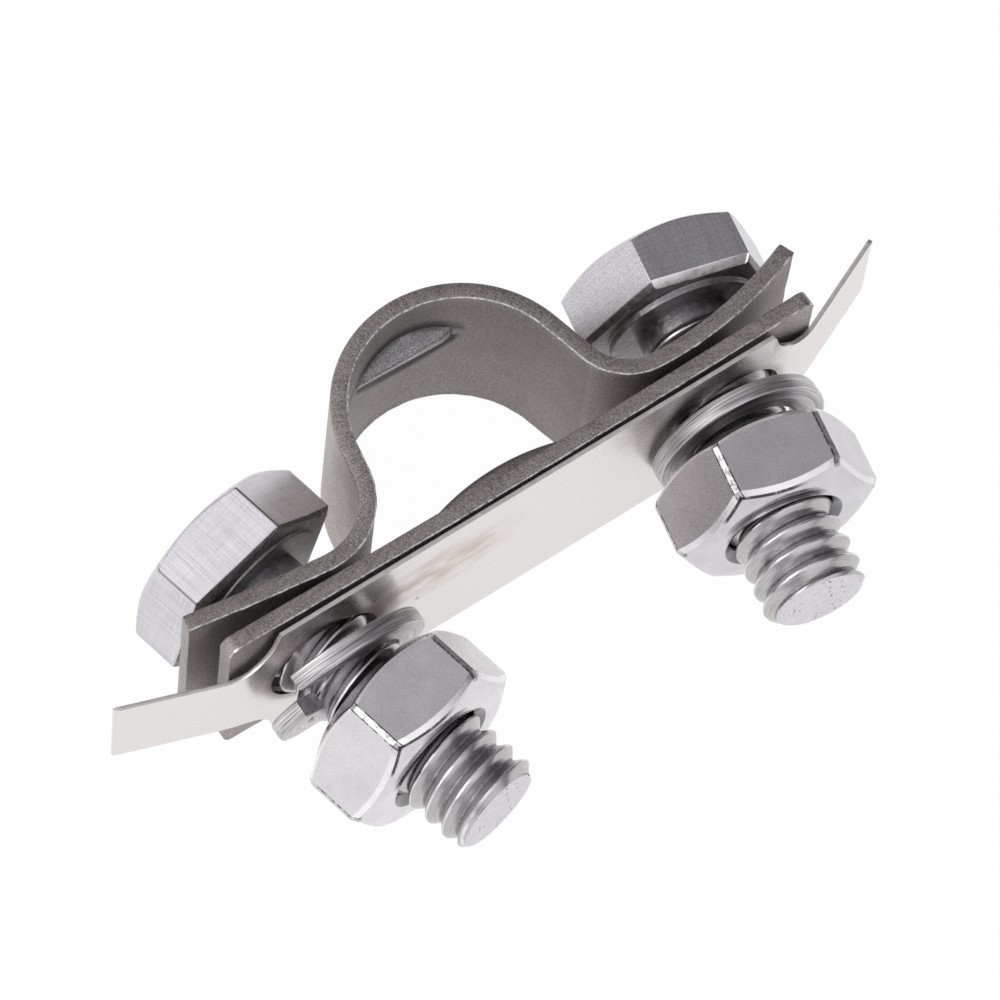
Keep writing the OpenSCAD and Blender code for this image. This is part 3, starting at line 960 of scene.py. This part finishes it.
# %% The base plate
PLATE_ENDS = (-19.86, 20.54)
PLATE_WIDTH = 12.7
PLATE_RIB = (-0.6, 4.8)
PLATE_CORNER, PLATE_BOW = 0.65, 1020.1


def lens(length, height, along, aside):
    """How high a lens-shaped rib stands at a point, or 0 beside it."""
    arc = (length ** 2 / 4 + height ** 2) / (2 * height)
    if abs(along) >= length / 2:
        return 0.0
    radius = height - arc + math.sqrt(arc ** 2 - along ** 2)
    return math.sqrt(radius ** 2 - aside ** 2) if abs(aside) < radius else 0.0


def steps_between(first, last, step, extra):
    """Even steps from first to last, with the extra ones put in their places."""
    count = max(1, round((last - first) / step))
    even = {round(first + (last - first) * k / count, 4) for k in range(count + 1)}
    return sorted(even | set(extra))


def base_plate():
    corner, (low_end, high_end) = PLATE_CORNER, PLATE_ENDS
    round_the_corner = [corner * d for d in (0.03, 0.12, 0.28, 0.5, 0.75, 1.0)]
    extra = [low_end + d for d in round_the_corner] + [high_end - d for d in round_the_corner]
    across = [w / 100 for w in range(360, 602, 10)] + [-5.0, -2.0, 1.0, 3.0]
    torn, ragged = wobble(23, 8.0, 1.0), wobble(25, 1.2, 0.35)
    sections = []
    for x in steps_between(low_end, high_end, 0.35, extra):
        inset = max(corner - min(x - low_end, high_end - x), 0)
        half = PLATE_WIDTH / 2 - corner + math.sqrt(max(corner ** 2 - inset ** 2, 0.0016))
        level = PLATE_LEVEL - 0.12 + (x - 0.34) ** 2 / (2 * PLATE_BOW)

        def over(w):
            return level + lens(11, 1.03, x - PLATE_RIB[0], w - PLATE_RIB[1])

        def under(w):
            return level - 1.0 + lens(9.35, 0.72, x - PLATE_RIB[0], w - PLATE_RIB[1])

        burr = 0.01 + 0.06 * max(torn(x), 0) * (0.4 + 0.6 * ragged(x))
        section = cut_outline(under, over, half, -half, burr, sorted(across))
        sections.append([(x, up, w) for up, w in section])
    holes = bolt_holes(-0.5, -0.5)
    return sheet_piece("base_plate", sections, len(across), holes, PLATE_HOLE, "plate")


pieces["base_plate"] = base_plate()
print("plate faces:", len(pieces["base_plate"].data.polygons))

# %% [markdown]
# ## The tab shim
#
# A strip of thin bright sheet under the plate. Beyond the bolts its sides curve in to narrow
# tabs, which are bent up. It is so thin that its cut edge shows only as a light line, so the
# same outline is swept with hardly any burr.

# %% The tab shim
SHIM = 0.27


def tab_shim():
    level = PLATE_LEVEL - 1.36 - SHIM / 2
    half_wide, half_tab, hollow = 6.35, 3.175, 3.175
    left_hollow, right_hollow = 20.16, 20.59
    right = walk((0, level, 0), [("run", 18.42), ("bend", 6, 23.75), ("run", 6.5)], 0.2)
    left = walk((0, level, 0), [("run", 18.42), ("bend", 6, 19), ("run", 6.4)], 0.2)
    sections = []
    wave = wobble(33, 3.0, 0.4)
    across = [-4.0, -1.0, 1.0, 4.0]
    for point in both_sides(left, right):
        middle = right_hollow if point[0] > 0 else left_hollow
        into = hollow - (middle - abs(point[0]))
        if into <= 0:
            half = half_wide
        elif into < hollow:
            half = half_tab + hollow - math.sqrt(hollow ** 2 - (hollow - into) ** 2)
        else:
            half = half_tab
        half -= 0.02 * wave(point[3])
        section = cut_outline(lambda w: -SHIM / 2, lambda w: SHIM / 2, half, -half, 0.008, across)
        sections.append(lifted(point, section))
    holes = bolt_holes(-1.5, -1.5)
    return sheet_piece("tab_shim", sections, len(across), holes, PLATE_HOLE, "plate")


pieces["tab_shim"] = tab_shim()
print("shim faces:", len(pieces["tab_shim"].data.polygons))

# %% [markdown]
# ## Steel
#
# All nine pieces are stainless steel with different histories. The strap and the plate were
# stamped and tumbled, which leaves a dull speckled grain of a warm grey. The shim is bright
# rolled sheet with a few stains. The heads were brushed along the bolt, the nuts etched smooth,
# the threads rolled and the washers drawn through a die. So the steel itself is one function,
# `metal`, and each history is a pattern fed into its tone, its roughness and its relief. The
# torn burr on the cut edges is the simplest of them, one noise for all three, and its bright
# tone is a painted highlight.

# %% One steel for all
def metal(finish, tone, rough, relief, depth, tint=(1.0, 0.98, 1.0)):
    """The steel of every piece: tone is how much light it returns, relief the height of its
    pattern and depth that pattern's depth in millimetres. tint may change over the surface."""
    colour = finish.mix(tone.clamp(), grey(0.0), tint if isinstance(tint, Wire) else (*tint, 1.0))
    wires = {"Strength": 1.0, "Distance": depth * MM, "Height": relief}
    bump = finish.add("ShaderNodeBump", {}, wires)
    wires = {"Base Color": colour, "Metallic": 1.0, "Roughness": rough.clamp(), "Normal": bump}
    body = finish.add("ShaderNodeBsdfPrincipled", {}, wires)
    finish.add("ShaderNodeOutputMaterial", {}, {"Surface": body})
    return finish.owner


def tell(*materials):
    for material in materials:
        print(material.name, "has", len(material.node_tree.nodes), "nodes")


def burr_highlight():
    finish = Finish("burr_painted_highlight")
    tear = finish.uneven(finish.place(), 4.0, 2.0)
    # The burr is a real torn lip; its high tone is a painted highlight along the cut edges.
    return metal(finish, 0.78 + 2.2 * tear, 0.3 + 0.4 * tear, tear, 0.02, (1.0, 0.98, 0.97))


burr_finish = burr_highlight()
tell(burr_finish)

# %% [markdown]
# ## Tumbled sheet
#
# The grain is two noises of different sizes over a slow cloud. The cut edge has fine streaks
# across its thickness, left by the punch. The strap's inner side is darkened toward the crown
# with painted shade, and the crown has one long scratch. The rib's front slope is lightened and
# tinted lilac with a painted highlight, its ridge gets the brightest painted highlight, and the
# crown at the back of the rib and round its slope is darkened with painted shade.

# %% Tumbled sheet for the strap and the plate
DEGREES, RADIANS = 180 / math.pi, math.pi / 180
WARM = (1.0, 0.90, 0.875, 1.0)
LILAC = (0.98, 0.95, 1.0, 1.0)


def near_line(along, aside, start, end, width):
    """1 on a thin line from start to end, both (along, aside), and 0 away from it."""
    slope = (end[1] - start[1]) / (end[0] - start[0])
    off = abs(aside - start[1] - (along - start[0]) * slope)
    return off.below(width / 2, width / 2) * along.above(start[0], 0.3) * along.below(end[0], 0.3)


def tumbled_sheet(name, tone, shade=0.0):
    """shade is how much painted shade darkens the sheet toward the crown, compared with the wings."""
    finish = Finish(name)
    place = finish.place()
    x, y, z = finish.split(place)
    grain = finish.uneven(place, 8.0, 2.0, 0.7)
    speck = finish.uneven(place, 16.0, 1.0)
    cloud = finish.uneven(place, 0.5, 3.0)
    angle = finish.turned(x, y) * DEGREES
    radius = (x * x + y * y) ** 0.5
    cut_edge = z.above(6.3, 0.05)
    streak = finish.uneven(finish.join(angle, radius * 0.5, z * 0.3), 1.0, 2.0) * cut_edge
    level = tone * (1 + 1.5 * grain + 1.1 * speck + 0.35 * cloud + 0.9 * streak)
    outside = radius.above(7.6, 0.1) * y.above(-2.5, 2.0) * z.below(6.3, 0.05)
    # Painted shade: with shade above 0, the sheet darkens toward the crown.
    level = level * (1 - shade * y.above(-3.5, 2.5)) * (1 + 0.25 * outside)

    inside = radius.below(6.9, 0.1) * y.above(0.5, 0.5)
    scratch = near_line(angle, z, (-15.7, -5.3), (31.4, -3.14), 0.09) * inside
    at_rib = inside * x.below(3.2, 0.1) * x.above(-3.15, 0.1)
    # Painted highlight: the rib's front slope is lightened and tinted lilac, and its ridge is
    # lightened most.
    slope = y - z - 3.675 + 0.069 * x
    front = slope.above(-0.06, 0.05) * slope.below(0.35, 0.05) * at_rib
    ridge = (y + 0.03 * x).below(6.16, 0.1) * z.above(1.4, 0.1) * z.below(2.6, 0.1) * at_rib
    # Painted shadow of the rib: the crown at the back of the rib, and round the edge of its front
    # slope, is darkened.
    hollow = z - (1.52 - 2.88 * (y - 5.8 + 0.03 * x))
    rib_shadow = hollow.above(-0.5, 0.5) * z.below(1.62, 0.1) * inside
    rib_shadow = rib_shadow * x.below(3.7, 0.4) * x.above(-3.3, 0.3)
    slope_shadow = slope.above(-0.75, 0.7) * slope.below(-0.06, 0.1) * z.above(1.6, 0.2) * inside
    slope_shadow = slope_shadow * x.below(3.9, 0.4)
    # The scratch is real wear; the rib's slope and ridge get their painted highlight, then its
    # painted shadow darkens the crown round it.
    level = level * (1 + 0.45 * scratch + 0.55 * front * (1 - ridge) + 0.9 * ridge)
    level = level * (1 - 0.85 * rib_shadow) * (1 - 0.6 * slope_shadow)
    relief = grain + 0.6 * speck - 0.8 * scratch
    # The lilac tint of the rib's front slope belongs to its painted highlight.
    return metal(finish, level, 0.46 + 0.25 * grain, relief, 0.03, finish.mix(front, WARM, LILAC))


strap_finish = tumbled_sheet("tumbled_strap", 0.36)
# The strap's inner side: the same sheet, darkened toward the crown with painted shade.
shaded_strap_inside = tumbled_sheet("tumbled_strap_inside", 0.36, shade=0.26)
plate_finish = tumbled_sheet("tumbled_plate", 0.38)
tell(strap_finish, shaded_strap_inside, plate_finish)

# %% [markdown]
# ## Rolled sheet
#
# The shim is bright, with fine lines along its length where the rolls dragged. It has a warm
# stain to the left of its middle and a dark spot. Round its holes a ring is darker and browner:
# a painted reflection of the washers and nuts in the bright sheet.

# %% Rolled sheet for the shim
def round_hole(x, z, middle):
    """1 on the ring of sheet that a washer covers round a hole, 0 away from it."""
    return (((x - middle) ** 2 + z ** 2) ** 0.5).below(4.1, 0.5)


def rolled_sheet():
    finish = Finish("rolled_bright_sheet")
    place = finish.place()
    x, _, z = finish.split(place)
    lines = finish.uneven(finish.stretch(place, (0.5, 6.0, 6.0)), 1.0, 3.0)
    grit = finish.uneven(place, 9.0, 2.0)
    cloud = finish.noise(finish.stretch(place, (0.5, 1.0, 1.3)), 0.8, 3.0, 0.6)
    patch = ((x + 5.6) ** 2 / 26 + (z - 2.2) ** 2 / 6).below(0.8, 1.2)
    stain = patch * cloud.above(0.47, 0.25)
    # Painted reflection: a darker, browner ring round each hole, where the washer and nut show in the
    # sheet.
    washer_reflection = round_hole(x, z, -13.55) + round_hole(x, z, 14.4)
    spot = ((x + 7.26) ** 2 + (z + 0.1) ** 2).below(0.012, 0.02)
    level = 0.80 * (1 + 0.10 * lines + 0.08 * grit) * (1 - 0.12 * stain)
    level = level * (1 - 0.75 * spot) * (1 - 0.4 * washer_reflection)
    rough = 0.27 + 0.2 * lines + 0.25 * stain
    tint = finish.mix((stain + washer_reflection).clamp(), (1.0, 0.955, 0.94, 1.0), (1.0, 0.90, 0.83, 1.0))
    return metal(finish, level, rough, lines + 0.4 * grit, 0.004, tint)


shim_finish = rolled_sheet()
tell(shim_finish)

# %% [markdown]
# ## Brushed, rolled, sheared and etched
#
# Brushed lines and rolled lines are the same noise, stretched along the bolt or round it. Dark
# torn seams lie at the corners of heads and nuts: `from_corner` folds the angle round the axis
# so that one line of sums draws all six. Where a tool tore the metal it is uneven in tone,
# dark or bright, with small shiny spots.

# %% Brushed heads
def brushed_head(name, turn, seam, brush, grit):
    """seam is how dark the corners are, brush and grit how strong lines and speckle are."""
    finish = Finish(name)
    place = finish.place()
    x, y, _ = finish.split(place)
    lines = finish.uneven(finish.stretch(place, (20.0, 20.0, 0.25)), 1.0, 1.0, 0.6)
    cross = finish.uneven(finish.stretch(place, (0.4, 0.4, 10.0)), 1.0, 1.0)
    grain = finish.uneven(place, 11.0, 1.0)
    cloud = finish.uneven(place, 0.5, 2.0)
    corner = finish.from_corner(finish.turned(y, x) * DEGREES - turn)
    dark = corner.below(0.7, 0.6) * (x * x + y * y).above(5.8 ** 2, 0.5) * seam
    level = 0.70 * (1 + brush * lines + 0.3 * cross + grit * grain + 0.15 * cloud) * (1 - dark)
    relief = lines + 0.4 * cross + 0.5 * grit * grain
    return metal(finish, level, 0.30 + 0.25 * lines, relief, 0.003, (0.98, 0.955, 1.0))


left_head_finish = brushed_head("left_brushed_head", LEFT_HEAD_TURN, seam=0.6, brush=0.6, grit=0.3)
right_head_finish = brushed_head("right_brushed_head", RIGHT_HEAD_TURN, seam=0.2, brush=0.3, grit=0.9)
tell(left_head_finish, right_head_finish)


# %% Rolled threads, crests with a painted highlight and sheared tips
def rolled_thread():
    finish = Finish("rolled_thread")
    place = finish.place()
    lines = finish.uneven(finish.stretch(place, (0.7, 0.7, 11.0)), 1.0, 2.0)
    cloud = finish.uneven(place, 0.9, 3.0)
    level = 0.52 * (1 + 0.6 * lines + 0.3 * cloud)
    return metal(finish, level, 0.24 + 0.2 * lines, lines, 0.004, (1.0, 0.96, 0.985))


def crest_highlight():
    finish = Finish("crest_highlight")
    wear = finish.uneven(finish.stretch(finish.place(), (1.2, 1.2, 4.0)), 1.0, 3.0)
    # Painted highlight: the crests are lighter than the flanks, as a bright line along the thread.
    return metal(finish, 0.72 + 0.9 * wear, 0.24 + 0.3 * wear, wear, 0.01, (1.0, 0.97, 1.0))


def sheared_tip():
    finish = Finish("sheared_tip")
    place = finish.place()
    lines = finish.uneven(finish.stretch(place, (1.0, 7.0, 1.0)), 1.0, 3.0)
    nick = finish.noise(finish.stretch(place, (2.2, 0.8, 1.0)), 1.0, 1.0, 0.5, 1.5).below(0.31, 0.04)
    grain = finish.uneven(place, 7.0, 2.0, 0.7)
    level = 0.70 * (1 + 0.6 * lines + 0.7 * grain) * (1 - 0.6 * nick)
    return metal(finish, level, 0.35 + 0.2 * lines, lines + grain - nick, 0.012, (0.985, 0.96, 1.01))


shank_finishes = [rolled_thread(), sheared_tip(), crest_highlight()]
tell(*shank_finishes)


# %% Torn metal at the bevels and the washers' ends, and painted shade under the heads and in the roots
def sheared_scale(name, tone, shiny):
    """tone is how much light the metal returns, and for some pieces it carries painted light and
    shade; shiny is how much brighter its spots are.
    """
    finish = Finish(name)
    place = finish.place()
    rough = finish.uneven(place, 2.2, 3.0, 0.7)
    shine = finish.noise(place, 1.4, 2.0).above(0.62, 0.06)
    level = tone * (1 + 1.6 * rough) + shiny * shine
    return metal(finish, level, 0.4 + 0.4 * rough, rough, 0.06 * (1 - tone), (1.0, 0.97, 1.0))


left_scale = sheared_scale("left_sheared_scale", tone=0.30, shiny=0.5)
# Painted highlight: the right head's bevel under one flat is nearly white.
right_scale = sheared_scale("right_sheared_scale", tone=0.95, shiny=0.1)
# Painted shade: the dark tone under the heads, on the rest of their bevels and in the thread roots,
# where it also stands for dirt.
shade_finish = sheared_scale("painted_shade_scale", tone=0.3, shiny=0.1)
# Painted light: the washers' sheared ends are lightened well above the bar's tone.
lit_bar_end = sheared_scale("sheared_bar_end", tone=0.85, shiny=0.1)
tell(left_scale, right_scale, shade_finish, lit_bar_end)


# %% Etched nuts
def etched_nut(name, turn, tone):
    """Smooth flats, worn facets lightened with a painted highlight, dark torn seams next to them, and
    a countersunk mouth darkened with painted shade.
    """
    finish = Finish(name)
    place = finish.place()
    x, y, _ = finish.split(place)
    grain = finish.uneven(place, 10.0, 2.0)
    cloud = finish.uneven(place, 0.6, 3.0)
    torn = finish.noise(place, 2.2, 3.0, 0.7)
    nick = finish.noise(finish.stretch(place, (1.6, 1.6, 0.7)), 1.0, 1.0, 0.5, 1.0).below(0.17, 0.03)
    swing = finish.turned(y, x) * DEGREES - turn
    corner = finish.from_corner(swing)
    distance = (x * x + y * y) ** 0.5
    on_corner = distance.above(5.9, 0.1)
    from_flat = (30 - corner) * RADIANS
    to_flat = finish.add("ShaderNodeMath", {"operation": "COSINE"}, {0: from_flat}) * distance

    torn_side = swing.above(-138.0, 4.0) * swing.below(-84.0, 12.0)
    rim = to_flat.above(5.16, 0.05) * to_flat.below(5.345, 0.03) * torn.above(0.36, 0.12) * torn_side
    seam = corner.above(1.55, 0.2) * corner.below(2.2, 0.3) * on_corner * torn.above(0.46, 0.1)
    torn_seam = (rim + seam).clamp()
    # Painted highlight: the worn facets round the rims are lightened.
    facet = to_flat.above(5.36, 0.02) * to_flat.below(5.54, 0.01)
    corner_facet = corner.below(1.65, 0.1) * on_corner
    dents = corner_facet * torn.above(0.56, 0.05)
    # Painted shade: the countersunk mouth is darkened.
    mouth = distance.below(3.7, 0.06)
    level = tone * (1 + 0.3 * grain + 0.3 * cloud) * (1 + 0.3 * facet - 0.36 * corner_facet)
    level = level * (1 - 0.5 * dents) * (1 - 0.5 * nick) * (1 - 0.88 * torn_seam) * (1 - 0.7 * mouth)
    rough = 0.28 + 0.2 * grain - 0.12 * distance.below(5.2, 0.4)
    return metal(finish, level, rough, grain - nick - torn * torn_seam, 0.006, (1.0, 0.97, 1.0))


left_nut_finish = etched_nut("left_etched_nut", LEFT_NUT_TURN, tone=0.74)
right_nut_finish = etched_nut("right_etched_nut", RIGHT_NUT_TURN, tone=0.66)
tell(left_nut_finish, right_nut_finish)


# %% Drawn washers
def drawn_bar():
    """Lines that follow the bar round, which means that they climb as it does."""
    finish = Finish("drawn_bar")
    x, y, z = finish.split(finish.place())
    angle = finish.turned(y, x)
    radius = (x * x + y * y) ** 0.5
    climbed = z + angle * (WASHER_RISE / (2 * math.pi))
    spot = finish.join(radius * 10.0, climbed * 10.0, angle * 1.5)
    lines = finish.uneven(spot, 1.0, 2.0, 0.6)
    wide = finish.uneven(spot, 0.25, 2.0)
    level = 0.52 * (1 + 2.4 * lines + 1.2 * wide)
    return metal(finish, level, 0.33 + 0.3 * lines, lines, 0.03, (1.0, 0.965, 0.985))


washer_finish = drawn_bar()
tell(washer_finish)

# %% [markdown]
# ## Dress every piece
#
# A mesh's faces already carry the numbers of their slots, so the finishes only have to be put
# into the slots in the same order. The slots are filled one by one, and never cleared first,
# because clearing them would set every face's number back to 0.

# %% Give every piece its finish
worn_by = {
    "saddle_strap": [strap_finish, burr_finish, shaded_strap_inside],
    "base_plate": [plate_finish, burr_finish, plate_finish],
    "tab_shim": [shim_finish, shim_finish, shim_finish],
    "left_bolt": [left_head_finish, *shank_finishes, left_scale, shade_finish],
    "right_bolt": [right_head_finish, *shank_finishes, right_scale, shade_finish],
    "left_nut": [left_nut_finish],
    "right_nut": [right_nut_finish],
    "left_spring_washer": [washer_finish, lit_bar_end],
    "right_spring_washer": [washer_finish, lit_bar_end],
}
for name, finishes in worn_by.items():
    slots = pieces[name].data.materials
    for index, finish in enumerate(finishes):
        if index < len(slots):
            slots[index] = finish
        else:
            slots.append(finish)
print("materials:", sorted(material.name for material in bpy.data.materials if material.users))
